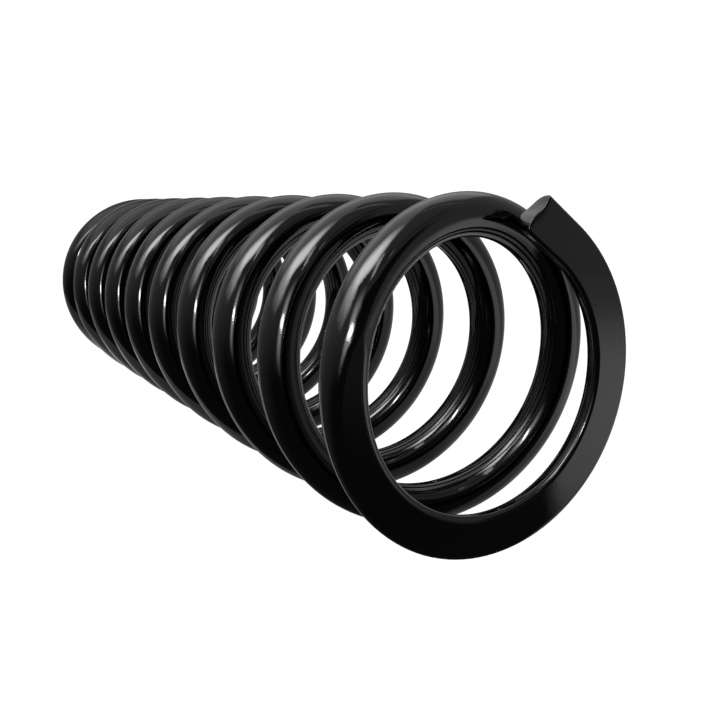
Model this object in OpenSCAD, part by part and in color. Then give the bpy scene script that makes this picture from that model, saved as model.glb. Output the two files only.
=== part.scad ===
// Helical compression spring of round wire, right-hand wound.
// It stands on its lower ground end: z = 0 is that face, and +Z runs along the coil's axis.
// Each end lies closed on the turn beside it and opens to the working pitch, and grinding leaves a flat seat across it.

/* [Wire] */
// Diameter of the round wire
wire_d = 10.3; // [8.5:0.1:12]

/* [Coil] */
// Inside diameter of the coil
inner_d = 63.5; // [56:0.5:76]
// Length over the two ground ends, unloaded
free_length = 281; // [250:1:330]
// Turns of wire from tip to tip
total_turns = 10.26; // [9.5:0.02:11.5]

/* [Ends] */
// Gap between each tip and the turn that it closes on
tip_gap = 1.4; // [0.4:0.1:2]
// Rise of the wire in one turn where an end lies closed
closed_rise = 1.9; // [0:0.1:3]
// Turns of wire in which an end opens to the working pitch
opening_turns = 0.36; // [0.2:0.02:0.44]
// How far the coil is drawn in where an end opens
draw_in = 0.95; // [0:0.05:1.2]
// Thickness of wire that grinding leaves at each tip
tip_thick = 6.0; // [4:0.1:8]
// Length of wire at each tip that stays straight
tail_length = 12.0; // [0:0.2:20]
// Depth of the wave that shearing leaves in each end face of the wire
shear_wave = 0.6; // [0:0.1:1]

/* [Hidden] */

// Rings of points in one turn of wire, and points in one ring
rings_per_turn = 32;
ring_points = 16;

wire_r = wire_d / 2;
mean_r = inner_d / 2 + wire_r;
outer_d = inner_d + 2 * wire_d;
turn_length = 2 * PI * mean_r;
half_turns = total_turns / 2;
tail_turns = tail_length / turn_length;

// Height of the wire's centre over the ground face at a tip
tip_z = tip_thick - wire_r;
// Rise of an end turn, and of each turn between the two end turns
end_turn_rise = wire_d + tip_gap;
working_pitch = (free_length / 2 - tip_z - end_turn_rise) / (half_turns - 1);
// Turns from a tip to the middle of the stretch where an end opens, so that the end turn has its rise
opening_rise = working_pitch - closed_rise;
opens_at = 1 - (end_turn_rise - closed_rise) / opening_rise;
// Turns from a tip to where the coil is drawn in most, and from there to where it has its full width
drawn_at = 0.75;
drawn_reach = 0.27;

ring_count = ceil(total_turns * rings_per_turn);
turns_per_ring = total_turns / ring_count;

// Height of the wire's centre over the nearer ground face, and its rise per turn, t turns from a tip
function opened(t) = min(max((t - opens_at) / opening_turns + 0.5, 0), 1);
function end_rise(t) =
    let (
        x = opened(t),
        beyond = max(t - opens_at - opening_turns / 2, 0)
    )
    tip_z + closed_rise * t + opening_rise * (opening_turns * (pow(x, 3) - pow(x, 4) / 2) + beyond);
function end_pitch(t) =
    let (x = opened(t))
    closed_rise + opening_rise * (3 * pow(x, 2) - 2 * pow(x, 3));
function end_draw(t) =
    let (x = min(abs(t - drawn_at) / drawn_reach, 1))
    draw_in * pow(cos(90 * x), 2);

// Both ends are alike, so the upper half mirrors the lower one
function height(t) = t <= half_turns ? end_rise(t) : free_length - end_rise(total_turns - t);
function pitch(t) = end_pitch(min(t, total_turns - t));
function coil_r(t) = mean_r - end_draw(min(t, total_turns - t));

// Wave of a sheared end face, at a share of the wire's radius out from the wire's centre
function sheared(share) = shear_wave * sin(180 * share);
// How far a ring is bent out of its plane: only the two end rings are, and each faces its own way
function bent(i, share) = i == 0 ? sheared(share) : i == ring_count ? -sheared(share) : 0;

// Ring of points around the wire, square to the wire's run
function ring(i) =
    let (
        t = i * turns_per_ring,
        wound = min(max(t, tail_turns), total_turns - tail_turns),
        straight = turn_length * (t - wound),
        turned = 360 * wound,
        lead = atan(pitch(t) / turn_length),
        out = [cos(turned), sin(turned), 0],
        level = [-sin(turned), cos(turned), 0],
        along = cos(lead) * level + [0, 0, sin(lead)],
        up = [0, 0, cos(lead)] - sin(lead) * level,
        centre = coil_r(t) * out + straight * level + [0, 0, height(t)]
    )
    [
        for (k = [0 : ring_points - 1])
            let (a = 360 * k / ring_points)
            centre + wire_r * (cos(a) * out + sin(a) * up) + bent(i, cos(a)) * along
    ];

// Strips across an end face, each between two pairs of points that lie equally far out
function end_face(first) = [
    for (k = [0 : ring_points / 2 - 1])
        let (beyond = (ring_points - k) % ring_points)
        [for (p = [k, k + 1, ring_points - k - 1, beyond]) first + p]
];
function turned_over(faces) = [for (f = faces) [for (k = [len(f) - 1 : -1 : 0]) f[k]]];

// Bar of round wire wound to the coil, before grinding
module wound_bar() {
    rings = [for (i = [0 : ring_count]) each ring(i)];
    sides = [
        for (i = [0 : ring_count - 1], k = [0 : ring_points - 1])
            let (
                here = i * ring_points,
                next = here + ring_points,
                beside = (k + 1) % ring_points
            )
            each [
                [here + k, here + beside, next + beside],
                [here + k, next + beside, next + k]
            ]
    ];
    lower_end = turned_over(end_face(0));
    upper_end = end_face(ring_count * ring_points);
    polyhedron(points = rings, faces = concat(lower_end, sides, upper_end), convexity = 10);
}

// Space between the two grinding faces
module ground_space() {
    width = outer_d + 2 * tail_length;
    translate([-width / 2, -width / 2, 0])
        cube([width, width, free_length]);
}

module coil_spring() {
    color("#0c0c0d")
        intersection() {
            wound_bar();
            ground_space();
        }
}

coil_spring();
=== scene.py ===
import math

import bpy
from mathutils import Matrix
from mathutils import Vector


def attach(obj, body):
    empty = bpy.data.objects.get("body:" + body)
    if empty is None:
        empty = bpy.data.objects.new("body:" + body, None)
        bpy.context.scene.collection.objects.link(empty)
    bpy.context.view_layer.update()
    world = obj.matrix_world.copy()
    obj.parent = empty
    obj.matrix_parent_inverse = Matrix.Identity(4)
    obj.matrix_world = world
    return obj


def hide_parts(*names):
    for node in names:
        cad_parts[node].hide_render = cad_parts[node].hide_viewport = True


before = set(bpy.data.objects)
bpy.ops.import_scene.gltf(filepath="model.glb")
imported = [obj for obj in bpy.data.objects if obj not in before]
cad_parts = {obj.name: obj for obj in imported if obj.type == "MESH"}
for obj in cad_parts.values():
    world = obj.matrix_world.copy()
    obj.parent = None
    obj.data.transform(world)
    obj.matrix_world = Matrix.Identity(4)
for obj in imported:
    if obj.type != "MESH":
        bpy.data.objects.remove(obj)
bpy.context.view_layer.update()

MM = 0.001
FULL_TURN = 2.0 * math.pi
QUARTER_TURN = math.pi / 2.0

# Sizes of the spring in millimetres, the same values as in the part's source
WIRE_D = 10.3
INNER_D = 63.5
FREE_LENGTH = 281.0
TOTAL_TURNS = 10.26
TIP_GAP = 1.4
CLOSED_RISE = 1.9
TIP_THICK = 6.0
DRAW_IN = 0.95
TAIL_LENGTH = 12.0
SHEAR_WAVE = 0.6
# Turns in which an end opens to the working pitch, and where and how far along the coil is drawn in
OPENING_TURNS = 0.36
DRAWN_AT = 0.75
DRAWN_REACH = 0.27
# Radius that the paint leaves on the edges of the ground flats and of the end faces, in millimetres
EDGE_ROUND = 0.65
# How much that radius grows for each millimetre that a flat gets shallower towards where it runs out
EDGE_SOFTENING = 0.7

# Rings of points in one turn of wire
RINGS_PER_TURN = 120
# Points around a quarter of the wire: across the flat, round its edge, and down the round side
FLAT_STEPS = 5
EDGE_STEPS = 4
SIDE_STEPS = 7
QUARTER_RING = FLAT_STEPS + EDGE_STEPS + SIDE_STEPS
HALF_RING = 2 * QUARTER_RING
WHOLE_RING = 4 * QUARTER_RING
# Rows of points from the middle of an end face out to its edge, and round that edge
FACE_ROWS = 5
ROUND_ROWS = 4
CAP_ROWS = FACE_ROWS + ROUND_ROWS
# Half of one step, so that a count of steps or rows falls clearly on one side of a limit
HALF_STEP = 0.5
# Smallest angle that the points of a flat, or of its edge, take up around the wire
LEAST_ANGLE = math.radians(2)
# Angles that they take up besides where the wire isn't ground, and from how far off the ground face on, in
# millimetres
ROUND_FLAT_ANGLE = math.radians(23)
ROUND_EDGE_ANGLE = math.radians(18)
ROUND_FROM = 1.5
# Angle before the flat's edge from which a point lies on the edge's rounding
EDGE_ANGLE = 0.0001
# Distance in millimetres within which points become one
MERGE_WITHIN = 0.002

# What the coil's node tree is given, in metres and turns
COIL_SIZES = {
    "Wire diameter": WIRE_D * MM,
    "Inside diameter": INNER_D * MM,
    "Free length": FREE_LENGTH * MM,
    "Turns": TOTAL_TURNS,
    "Tip gap": TIP_GAP * MM,
    "Tip thickness": TIP_THICK * MM,
    "Closed rise": CLOSED_RISE * MM,
    "Opening turns": OPENING_TURNS,
    "Draw in": DRAW_IN * MM,
    "Tail length": TAIL_LENGTH * MM,
    "Shear wave": SHEAR_WAVE * MM,
    "Edge round": EDGE_ROUND * MM,
    "Edge softening": EDGE_SOFTENING,
    "Rings": float(round(TOTAL_TURNS * RINGS_PER_TURN)),
}


class Term:
    """A number that a node tree works out at each point, so that its formula reads as one."""

    def __init__(self, tree, socket):
        self.tree = tree
        self.socket = socket

    def __add__(self, other):
        return work(self.tree, "ADD", self, other)

    def __radd__(self, other):
        return work(self.tree, "ADD", other, self)

    def __sub__(self, other):
        return work(self.tree, "SUBTRACT", self, other)

    def __rsub__(self, other):
        return work(self.tree, "SUBTRACT", other, self)

    def __mul__(self, other):
        return work(self.tree, "MULTIPLY", self, other)

    def __rmul__(self, other):
        return work(self.tree, "MULTIPLY", other, self)

    def __truediv__(self, other):
        return work(self.tree, "DIVIDE", self, other)

    def __abs__(self):
        return work(self.tree, "ABSOLUTE", self)


def feed(tree, socket, value):
    if isinstance(value, Term):
        tree.links.new(value.socket, socket)
    elif isinstance(value, bpy.types.NodeSocket):
        tree.links.new(value, socket)
    else:
        socket.default_value = value


def work(tree, operation, *values):
    node = tree.nodes.new("ShaderNodeMath")
    node.operation = operation
    for socket, value in zip(node.inputs, values):
        feed(tree, socket, value)
    return Term(tree, node.outputs[0])


def sin(a):
    return work(a.tree, "SINE", a)


def cos(a):
    return work(a.tree, "COSINE", a)


def tan(a):
    return work(a.tree, "TANGENT", a)


def arctan(a):
    return work(a.tree, "ARCTANGENT", a)


def arctan2(y, x):
    return work(x.tree, "ARCTAN2", y, x)


def root(a):
    return work(a.tree, "SQRT", a)


def lower(a, b):
    return work(a.tree, "MINIMUM", a, b)


def higher(a, b):
    return work(a.tree, "MAXIMUM", a, b)


def below(a, b):
    return work(a.tree, "LESS_THAN", a, b)


def pick(test, yes, no):
    return test * yes + (1.0 - test) * no


def eased(a, start, end):
    node = a.tree.nodes.new("ShaderNodeMapRange")
    node.interpolation_type = "SMOOTHSTEP"
    feed(a.tree, node.inputs["Value"], a)
    feed(a.tree, node.inputs["From Min"], start)
    feed(a.tree, node.inputs["From Max"], end)
    return Term(a.tree, node.outputs["Result"])


def split(tree, vector):
    node = tree.nodes.new("ShaderNodeSeparateXYZ")
    tree.links.new(vector, node.inputs[0])
    return [Term(tree, socket) for socket in node.outputs]


def joined(tree, x, y, z):
    node = tree.nodes.new("ShaderNodeCombineXYZ")
    for socket, value in zip(node.inputs, (x, y, z)):
        feed(tree, socket, value)
    return node.outputs[0]


def set_inputs(node, values):
    for name, value in values.items():
        node.inputs[name].default_value = value


def new_object(name, data):
    thing = bpy.data.objects.new(name, data)
    bpy.context.collection.objects.link(thing)
    return thing


def new_material(name):
    material = bpy.data.materials.new(name)
    material.use_nodes = True
    return material


def new_rectangle(name, left, low, right, high, lift):
    mesh = bpy.data.meshes.new(name)
    corners = [(left, low, lift), (right, low, lift), (right, high, lift), (left, high, lift)]
    mesh.from_pydata(corners, [], [(0, 1, 2, 3)])
    return mesh


def stand(thing, middle, right, up, back):
    """Puts a camera or a light at its middle, with its own X, Y and Z in the three directions."""
    turn = Matrix((right, up, back)).transposed()
    thing.matrix_world = Matrix.Translation(middle) @ turn.to_4x4()


# The photograph's camera: where it stands, and its image's right, down and forward directions
CAMERA_AT = Vector((-0.1223, -0.00434, 0.4257))
PHOTO_RIGHT = Vector((0.81564, 0.30337, 0.49265))
PHOTO_DOWN = Vector((0.25907, -0.95287, 0.15784))
PHOTO_FORWARD = Vector((0.51731, -0.00111, -0.8558))
# Its focal length and its image's width in pixels, its sensor in millimetres, and how near and far it sees
FOCAL_PIXELS = 835.86
PHOTO_PIXELS = 720.0
SENSOR = 36.0
SEEN_FROM = 0.01
SEEN_TO = 50.0


def make_camera():
    data = bpy.data.cameras.new("photo_camera")
    data.sensor_width = SENSOR
    data.lens = FOCAL_PIXELS / PHOTO_PIXELS * SENSOR
    data.clip_start = SEEN_FROM
    data.clip_end = SEEN_TO
    camera = new_object("photo_camera", data)
    stand(camera, CAMERA_AT, PHOTO_RIGHT, -PHOTO_DOWN, -PHOTO_FORWARD)
    bpy.context.scene.camera = camera


# The studio that the gloss mirrors: far walls, and lit planes near the spring. Each panel on them is given by
# its middle, half its width and height, its tilt in degrees, how soft its sides and its ends are, and its
# brightness. A later panel stands in front of an earlier one, and what no panel covers has the level.
# The walls, in degrees as the photograph's camera would turn to them: to the right of straight back, and up
HALF_ROUND = 180.0
WALL_LEVEL = 0.05
WALLS = {
    "left wall": (-110, -4, 85, 45, 0, 60, 40, 0.17),
    "backdrop": (180, 4, 50, 26, 0, 20, 10, 0.5),
    "left wall, high": (-140, 50, 95, 40, 0, 40, 38, 1.2),
    "front left glow": (-60, 30, 90, 48, 0, 40, 48, 0.55),
    "front right": (50, 45, 40, 30, 0, 20, 20, 0.3),
    "right wall": (118, 30, 58, 55, 0, 12, 20, 0.42),
    "shadow at right": (47, 0, 22, 20, 0, 8, 9, 0.055),
    "low glow at right": (58, -10, 9, 13, 0, 6, 8, 0.16),
}
# Brightness of the ground that the camera itself sees around the spring
GROUND_LEVEL = 1.0
# The planes' lengths are in mean coil radii, and each one's reach is its left, low, right and high end
UNIT = (INNER_D + WIRE_D) / 2 * MM
# The roof over the spring and the camera: to the camera's right, and forward of it
ROOF_UP = 7.0
ROOF_REACH = (-16, -11, 13, 17)
ROOF_LEVEL = 0.36
ROOF = {
    "left part": (-14, 3, 6, 15, 0, 4, 4, 0.48),
    "back part": (-2.6, 7.8, 7.8, 5.2, 0, 4.5, 3.5, 1.45),
    "back part, right": (1.2, 7.8, 3.9, 5.2, 0, 1.2, 3.5, 1.2),
    "dark right part": (7, -1, 4.5, 4.5, 0, 2, 2, 0.25),
    "softbox, far left": (-8.5, -2.2, 7, 7.5, 0, 6.5, 4.5, 2.2),
    "softbox, left": (-6, -1, 4.5, 6.2, 0, 4, 4.4, 5.2),
    "softbox": (-2.4, 0.5, 4.3, 3.9, 0, 3, 3.2, 12.5),
    "right of the softbox": (3.7, 2, 3.1, 4.6, 0, 1, 1.5, 0.38),
    "gap, left": (-3.4, -7.6, 1.8, 3.6, 0, 1, 1.2, 0.5),
    "gap": (-1.2, -6.2, 2.2, 4.1, 0, 0.4, 0.6, 0.34),
    "tube": (2.4, -3.5, 0.85, 2.9, 26.6, 0.5, 0.8, 4.6),
    "second tube": (6.8, -3.7, 0.5, 1.6, 45, 0.3, 0.6, 1.8),
}
# The flag that hangs from the roof behind the softbox: to the right, and up from the roof
FLAG_AHEAD = 4.6
FLAG_DROP = 2.2
FLAG_REACH = (-11, -FLAG_DROP, 6, 0)
FLAG = {
    "lit part": (-2.6, -1, 7.8, 3, 0, 4.5, 0.5, 1.45),
    "lit part, right": (1.2, -1, 3.9, 3, 0, 1.2, 0.5, 1.2),
}
# The lamp over the camera's lens: to the right, and up
LAMP_REACH = (-3, -2, 3, 4)
LAMP_LEVEL = 0.0
LAMP = {
    "glow": (0.1, 1.2, 1.5, 2.3, -10, 1.4, 2.2, 5),
    "lamp": (0.1, 1.15, 1.05, 0.45, -15, 1, 0.42, 60),
}
# The white sheet that the spring lies over: along its front edge, and back from that edge
SHEET_AWAY = 1.5
SHEET_DOWN = Vector((0.4256, -0.9044, 0.0))
SHEET_ALONG = Vector((-0.5813, -0.2736, -0.766))
SHEET_BACK = Vector((0.6928, 0.326, -0.6428))
SHEET_REACH = (-15, -0.3, 18, 14)
SHEET_LEVEL = 0.4
SHEET = {
    "lit right part": (-4.9, 1, 7.4, 2.8, 0, 6.8, 2, 1.15),
    "middle part": (3, 4, 5.3, 8, 0, 1.2, 2, 0.5),
    "lit left part": (6.5, 4.5, 2.6, 2.2, 0, 1.6, 1.4, 1.1),
    "far left part": (13, 5, 6.5, 12, 0, 2.5, 2, 0.4),
    "shade under the spring": (3.06, 2.57, 1.25, 4.4, -50, 0.5, 0.6, 0.3),
    "dark before the sheet": (0, -10, 40, 10.51, 0, 1, 0.2, 0.045),
}


def painted(across, up, level, panels):
    """Brightness at a place on the walls or on a plane, with each panel laid over those before it."""
    for right, above, half_wide, half_high, tilt, side_soft, end_soft, brightness in panels.values():
        aside = work(across.tree, "WRAP", across - right, HALF_ROUND, -HALF_ROUND)
        over = up - above
        lean = math.radians(tilt)
        wide = abs(aside * math.cos(lean) + over * math.sin(lean))
        high = abs(over * math.cos(lean) - aside * math.sin(lean))
        inside = eased(wide, half_wide, half_wide - side_soft) * eased(high, half_high, half_high - end_soft)
        level = level + inside * (brightness - level)
    return level


def make_walls():
    world = bpy.data.worlds.new("studio")
    bpy.context.scene.world = world
    world.use_nodes = True
    tree = world.node_tree
    tree.nodes.clear()
    towards = tree.nodes.new("ShaderNodeTexCoord").outputs["Generated"]

    def along(axis):
        node = tree.nodes.new("ShaderNodeVectorMath")
        node.operation = "DOT_PRODUCT"
        tree.links.new(towards, node.inputs[0])
        node.inputs[1].default_value = axis
        return Term(tree, node.outputs["Value"])

    degrees = math.degrees(1.0)
    round_to = arctan2(along(PHOTO_RIGHT), along(-PHOTO_FORWARD)) * degrees
    up_to = work(tree, "ARCSINE", along(-PHOTO_DOWN)) * degrees
    seen = Term(tree, tree.nodes.new("ShaderNodeLightPath").outputs["Is Camera Ray"])
    background = tree.nodes.new("ShaderNodeBackground")
    level = painted(round_to, up_to, WALL_LEVEL, WALLS)
    feed(tree, background.inputs["Strength"], pick(seen, GROUND_LEVEL, level))
    output = tree.nodes.new("ShaderNodeOutputWorld")
    tree.links.new(background.outputs[0], output.inputs["Surface"])


def make_light(name, middle, right, up, reach, level, panels, clear=False):
    """A lit plane that only the gloss sees; a clear one adds its light to what stands behind it."""
    mesh = new_rectangle(name, *[end * UNIT for end in reach], 0.0)
    plane = new_object(name, mesh)
    stand(plane, middle, right, up, right.cross(up))
    material = new_material(name)
    tree = material.node_tree
    tree.nodes.clear()
    x, y = split(tree, tree.nodes.new("ShaderNodeTexCoord").outputs["Object"])[:2]
    glow = tree.nodes.new("ShaderNodeEmission")
    feed(tree, glow.inputs["Strength"], painted(x / UNIT, y / UNIT, level, panels))
    surface = glow.outputs[0]
    if clear:
        both = tree.nodes.new("ShaderNodeAddShader")
        tree.links.new(surface, both.inputs[0])
        tree.links.new(tree.nodes.new("ShaderNodeBsdfTransparent").outputs[0], both.inputs[1])
        surface = both.outputs[0]
    output = tree.nodes.new("ShaderNodeOutputMaterial")
    tree.links.new(surface, output.inputs["Surface"])
    mesh.materials.append(material)
    plane.visible_camera = False
    plane.visible_diffuse = False


def make_studio():
    make_walls()
    roof_at = CAMERA_AT - PHOTO_DOWN * ROOF_UP * UNIT
    make_light("roof", roof_at, PHOTO_RIGHT, PHOTO_FORWARD, ROOF_REACH, ROOF_LEVEL, ROOF)
    flag_at = roof_at + PHOTO_FORWARD * FLAG_AHEAD * UNIT
    make_light("flag", flag_at, PHOTO_RIGHT, -PHOTO_DOWN, FLAG_REACH, ROOF_LEVEL, FLAG)
    make_light("lamp", CAMERA_AT, PHOTO_RIGHT, -PHOTO_DOWN, LAMP_REACH, LAMP_LEVEL, LAMP, clear=True)
    sheet_at = Vector((0.0, 0.0, FREE_LENGTH * MM)) + SHEET_DOWN * SHEET_AWAY * UNIT
    make_light("sheet", sheet_at, SHEET_ALONG, SHEET_BACK, SHEET_REACH, SHEET_LEVEL, SHEET)


# The pale floor under the standing spring: half its width and its height in metres, and its paper
FLOOR_HALF = 6.0
FLOOR_LIFT = -0.0004
WHITE_PAPER = {
    "Base Color": (0.8, 0.8, 0.8, 1),
    "Roughness": 0.9,
    "Emission Color": (1, 1, 1, 1),
    "Emission Strength": 1.0,
}


def make_floor():
    mesh = new_rectangle("pale_floor", -FLOOR_HALF, -FLOOR_HALF, FLOOR_HALF, FLOOR_HALF, FLOOR_LIFT)
    floor = new_object("pale_floor", mesh)
    paper = new_material("white_paper")
    set_inputs(paper.node_tree.nodes["Principled BSDF"], WHITE_PAPER)
    mesh.materials.append(paper)
    # The gloss mirrors the studio's panels alone, as in the photograph, and not this floor
    floor.visible_glossy = False
    floor.visible_diffuse = False
    floor.visible_shadow = False


def coil_tree():
    """Node tree that winds the wire, closes and grinds its ends, and rounds their edges, in metres."""
    tree = bpy.data.node_groups.new("wound_spring", "GeometryNodeTree")
    sockets = tree.interface
    sockets.new_socket("Spring", in_out="OUTPUT", socket_type="NodeSocketGeometry")
    names = {}
    for name in COIL_SIZES:
        names[name] = sockets.new_socket(name, in_out="INPUT", socket_type="NodeSocketFloat").identifier
    names["Paint"] = sockets.new_socket("Paint", in_out="INPUT", socket_type="NodeSocketMaterial").identifier
    given = tree.nodes.new("NodeGroupInput")
    size = {name: Term(tree, given.outputs[name]) for name in COIL_SIZES}

    wire_r = size["Wire diameter"] / 2.0
    mean_r = size["Inside diameter"] / 2.0 + wire_r
    turn_length = mean_r * FULL_TURN
    turns = size["Turns"]
    length = size["Free length"]
    half_turns = turns / 2.0
    tail_turns = size["Tail length"] / turn_length
    tip_z = size["Tip thickness"] - wire_r
    end_rise = size["Wire diameter"] + size["Tip gap"]
    pitch = (length / 2.0 - tip_z - end_rise) / (half_turns - 1.0)
    closed_rise = size["Closed rise"]
    opening_rise = pitch - closed_rise
    opening = size["Opening turns"]
    opens_at = 1.0 - (end_rise - closed_rise) / opening_rise
    edge = size["Edge round"]

    # A flat sheet of points: one row across for each ring of the wire, and one column for each point in it
    last_row = size["Rings"] + 2.0 * CAP_ROWS
    grid = tree.nodes.new("GeometryNodeMeshGrid")
    feed(tree, grid.inputs["Size X"], last_row)
    feed(tree, grid.inputs["Size Y"], float(WHOLE_RING))
    feed(tree, grid.inputs["Vertices X"], last_row + 1.0)
    feed(tree, grid.inputs["Vertices Y"], WHOLE_RING + 1)
    place = split(tree, tree.nodes.new("GeometryNodeInputPosition").outputs[0])
    row = work(tree, "ROUND", place[0] + last_row / 2.0)
    column = work(tree, "ROUND", place[1] + HALF_RING)

    # Rows from the nearer tip, turns of wire from the lower tip and from the nearer tip, and which end it is
    from_tip = lower(row, last_row - row)
    ring = lower(higher(row, CAP_ROWS), last_row - CAP_ROWS) - CAP_ROWS
    edge_turns = edge / turn_length
    t = edge_turns + (turns - 2.0 * edge_turns) * ring / size["Rings"]
    t_near = lower(t, turns - t)
    end_sign = pick(below(t, half_turns), -1.0, 1.0)

    # Height and lead of the wire's centre: closed ends that open to an even pitch, drawn in a little there
    opened = lower(higher((t_near - opens_at) / opening + 0.5, 0.0), 1.0)
    squared = opened * opened
    beyond = higher(t_near - opens_at - opening / 2.0, 0.0)
    opened_turns = opening * squared * (opened - squared / 2.0) + beyond
    rise = tip_z + closed_rise * t_near + opening_rise * opened_turns
    height = pick(below(t, half_turns), rise, length - rise)
    lead = arctan((closed_rise + opening_rise * squared * (3.0 - 2.0 * opened)) / turn_length)
    bow = cos(lower(abs(t_near - DRAWN_AT) / DRAWN_REACH, 1.0) * QUARTER_TURN)
    coil_r = mean_r - size["Draw in"] * bow * bow
    wound = lower(higher(t, tail_turns), turns - tail_turns)
    straight = turn_length * (t - wound)
    turned = wound * FULL_TURN

    # Steps of a column from the top or bottom of its ring, and which way it lies from the wire's centre
    step = abs(work(tree, "FLOORED_MODULO", column + QUARTER_RING, HALF_RING) - QUARTER_RING)
    upper = 1.0 - below(abs(column - HALF_RING), QUARTER_RING)
    facing = pick(upper, 1.0, -1.0)
    outward = pick(below(column, HALF_RING), 1.0, -1.0)

    # The section: a circle cut by the grinding plane, with the cut's edge rounded
    plane = pick(upper, length - height, height) / cos(lead)
    cut = lower(plane, wire_r)
    soft = edge + size["Edge softening"] * (cut - tip_z)
    core = wire_r - soft
    sunk = cut - soft
    flat_half = root(higher(core * core - sunk * sunk, 0.0))
    flat_angle = arctan2(flat_half, cut)
    round_angle = arctan2(flat_half, sunk)
    clear = eased(plane - wire_r, 0.0, ROUND_FROM * MM)
    first_angle = higher(flat_angle, LEAST_ANGLE + ROUND_FLAT_ANGLE * clear)
    second_angle = higher(round_angle, first_angle + LEAST_ANGLE + ROUND_EDGE_ANGLE * clear)
    part_way = 1.0 - lower(step / FLAT_STEPS, 1.0)
    on_flat = arctan((1.0 - part_way * part_way) * tan(first_angle))
    on_edge = first_angle + (second_angle - first_angle) * (step - FLAT_STEPS) / EDGE_STEPS
    on_side = second_angle + (QUARTER_TURN - second_angle) * (step - FLAT_STEPS - EDGE_STEPS) / SIDE_STEPS
    angle = pick(below(step, FLAT_STEPS + HALF_STEP), on_flat,
                 pick(below(step, FLAT_STEPS + EDGE_STEPS + HALF_STEP), on_edge, on_side))
    reach = flat_half * sin(angle) + sunk * cos(angle)
    rounded = reach + root(higher(reach * reach - core * core + soft * soft, 0.0))
    radius = pick(below(angle, flat_angle - EDGE_ANGLE), cut / cos(angle),
                  pick(below(angle, round_angle), rounded, wire_r))

    # The end faces: rows that close to the wire's centre, a rounded edge, and the wave that shearing leaves
    share = lower(from_tip / FACE_ROWS, 1.0)
    bend = lower(higher(from_tip - FACE_ROWS, 0.0) / ROUND_ROWS, 1.0) * QUARTER_TURN
    radius = share * (radius - edge * (1.0 - sin(bend)))
    out = outward * radius * sin(angle)
    up = facing * radius * cos(angle)
    wave = size["Shear wave"] * sin(out / wire_r * math.pi)
    at_end = below(from_tip, CAP_ROWS + HALF_STEP)
    along = at_end * end_sign * (edge * cos(bend) - wave)

    # Out, level and up of the ring turned into the spring's own frame
    far = coil_r + out
    level = straight - up * sin(lead) + along * cos(lead)
    x = far * cos(turned) - level * sin(turned)
    y = far * sin(turned) + level * cos(turned)
    z = height + up * cos(lead) + along * sin(lead)

    # Marks for the paint: where the wire is ground, and where it lies on the edge of a flat or of an end face
    ground = below(angle, flat_angle) * below(cut, wire_r)
    on_round = below(angle, round_angle) * (1.0 - ground)
    on_end = below(from_tip, CAP_ROWS - HALF_STEP) * (1.0 - below(from_tip, FACE_ROWS - HALF_STEP))

    def passed(kind, geometry, through="Geometry", **inputs):
        node = tree.nodes.new(kind)
        tree.links.new(geometry, node.inputs[through])
        for name, value in inputs.items():
            feed(tree, node.inputs[name], value)
        return node.outputs[through]

    spring = grid.outputs["Mesh"]
    for name, value in (("ground", ground), ("edge", higher(on_round, on_end))):
        spring = passed("GeometryNodeStoreNamedAttribute", spring, Name=name, Value=value)
    spring = passed("GeometryNodeSetPosition", spring, Position=joined(tree, x, y, z))
    spring = passed("GeometryNodeMergeByDistance", spring, Distance=MERGE_WITHIN * MM)
    # The sheet is rolled up with its back outside
    spring = passed("GeometryNodeFlipFaces", spring, through="Mesh")
    spring = passed("GeometryNodeSetShadeSmooth", spring)
    spring = passed("GeometryNodeRealizeInstances", spring)
    spring = passed("GeometryNodeSetMaterial", spring, Material=given.outputs["Paint"])
    result = tree.nodes.new("NodeGroupOutput")
    tree.links.new(spring, result.inputs["Spring"])
    return tree, names


def make_coil(paint):
    holder = new_object("coil_maker", bpy.data.meshes.new("coil_maker"))
    tree, names = coil_tree()
    winding = holder.modifiers.new("winding", "NODES")
    winding.node_group = tree
    for name, value in COIL_SIZES.items():
        winding[names[name]] = value
    winding[names["Paint"]] = paint
    depsgraph = bpy.context.evaluated_depsgraph_get()
    mesh = bpy.data.meshes.new_from_object(holder.evaluated_get(depsgraph), depsgraph=depsgraph)
    mesh.name = "coil"
    holder.modifiers.remove(winding)
    bpy.data.objects.remove(holder)
    return new_object("coil", mesh)


# The paint's patterns: orange peel, fine grain, broad unevenness, and cells that may hold a nib of dust
PEEL = {"Scale": 420.0, "Detail": 2.0}
GRAIN = {"Scale": 1900.0, "Detail": 2.0}
BROAD = {"Scale": 60.0, "Detail": 3.0}
NIBS = {"Scale": 150.0, "Randomness": 1.0}
# Share of the cells that hold a nib, and a nib's radius as a share of a cell
NIB_SHARE = 0.25
NIB_RADIUS = 0.05
# Height of each pattern in millimetres
PEEL_HEIGHT = 0.012
GRAIN_HEIGHT = 0.007
NIB_HEIGHT = 0.03
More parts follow.
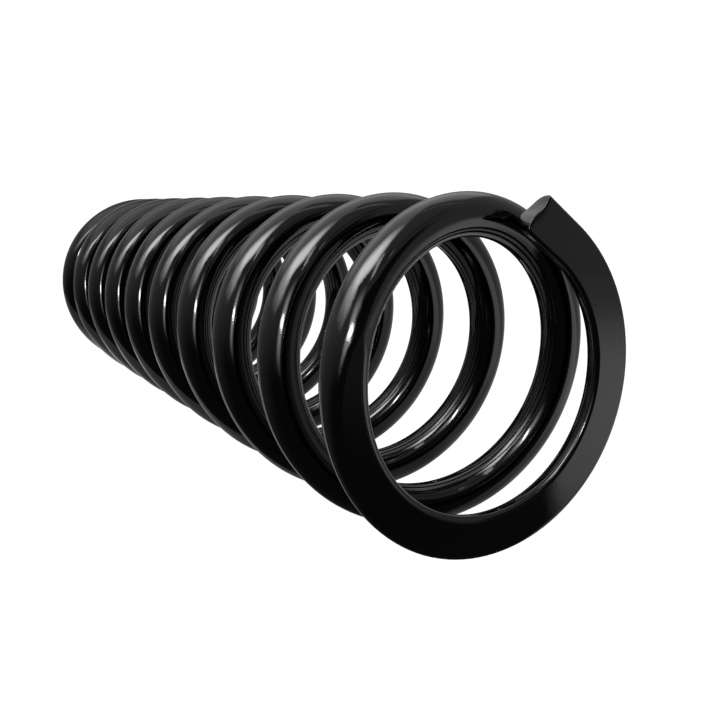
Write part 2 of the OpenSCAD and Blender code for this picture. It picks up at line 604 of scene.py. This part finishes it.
# Roughness of the gloss, and what unevenness, a ground flat and an edge add to it
GLOSS = 0.02
BROAD_DULLER = 0.02
GROUND_DULLER = 0.03
EDGE_DULLER = 0.05
# The paint's black, and what a nib and unevenness add to it
BLACK = 0.0016
NIB_PALER = 0.01
BROAD_PALER = 0.001
PAINT_IOR = 1.5


def black_paint():
    """Gloss black paint over the steel: orange peel, nibs of dust, and duller ground flats and edges."""
    material = new_material("black_paint")
    tree = material.node_tree
    shader = tree.nodes["Principled BSDF"]
    coords = tree.nodes.new("ShaderNodeTexCoord").outputs["Object"]

    def marked(name):
        node = tree.nodes.new("ShaderNodeAttribute")
        node.attribute_name = name
        return Term(tree, node.outputs["Fac"])

    def texture(kind, values):
        node = tree.nodes.new(kind)
        tree.links.new(coords, node.inputs["Vector"])
        set_inputs(node, values)
        return node.outputs

    def noise(values):
        return Term(tree, texture("ShaderNodeTexNoise", values)["Fac"])

    ground = marked("ground")
    edge = marked("edge")
    peel = noise(PEEL)
    grain = noise(GRAIN)
    broad = noise(BROAD)
    cells = texture("ShaderNodeTexVoronoi", NIBS)
    chosen = below(split(tree, cells["Color"])[0], NIB_SHARE)
    nib = eased(Term(tree, cells["Distance"]), NIB_RADIUS, 0.0) * chosen

    bump = tree.nodes.new("ShaderNodeBump")
    set_inputs(bump, {"Strength": 1.0, "Distance": MM})
    feed(tree, bump.inputs["Height"], peel * PEEL_HEIGHT + grain * GRAIN_HEIGHT + nib * NIB_HEIGHT)
    tree.links.new(bump.outputs["Normal"], shader.inputs["Normal"])

    duller = broad * BROAD_DULLER + ground * GROUND_DULLER + edge * EDGE_DULLER
    feed(tree, shader.inputs["Roughness"], GLOSS + duller)
    shade = BLACK + nib * NIB_PALER + broad * BROAD_PALER
    feed(tree, shader.inputs["Base Color"], joined(tree, shade, shade, shade))
    shader.inputs["IOR"].default_value = PAINT_IOR
    return material


make_camera()
make_studio()
make_floor()
coil = make_coil(black_paint())
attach(coil, "root")
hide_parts("coil_spring")

scene = bpy.context.scene
scene.view_settings.view_transform = "Standard"
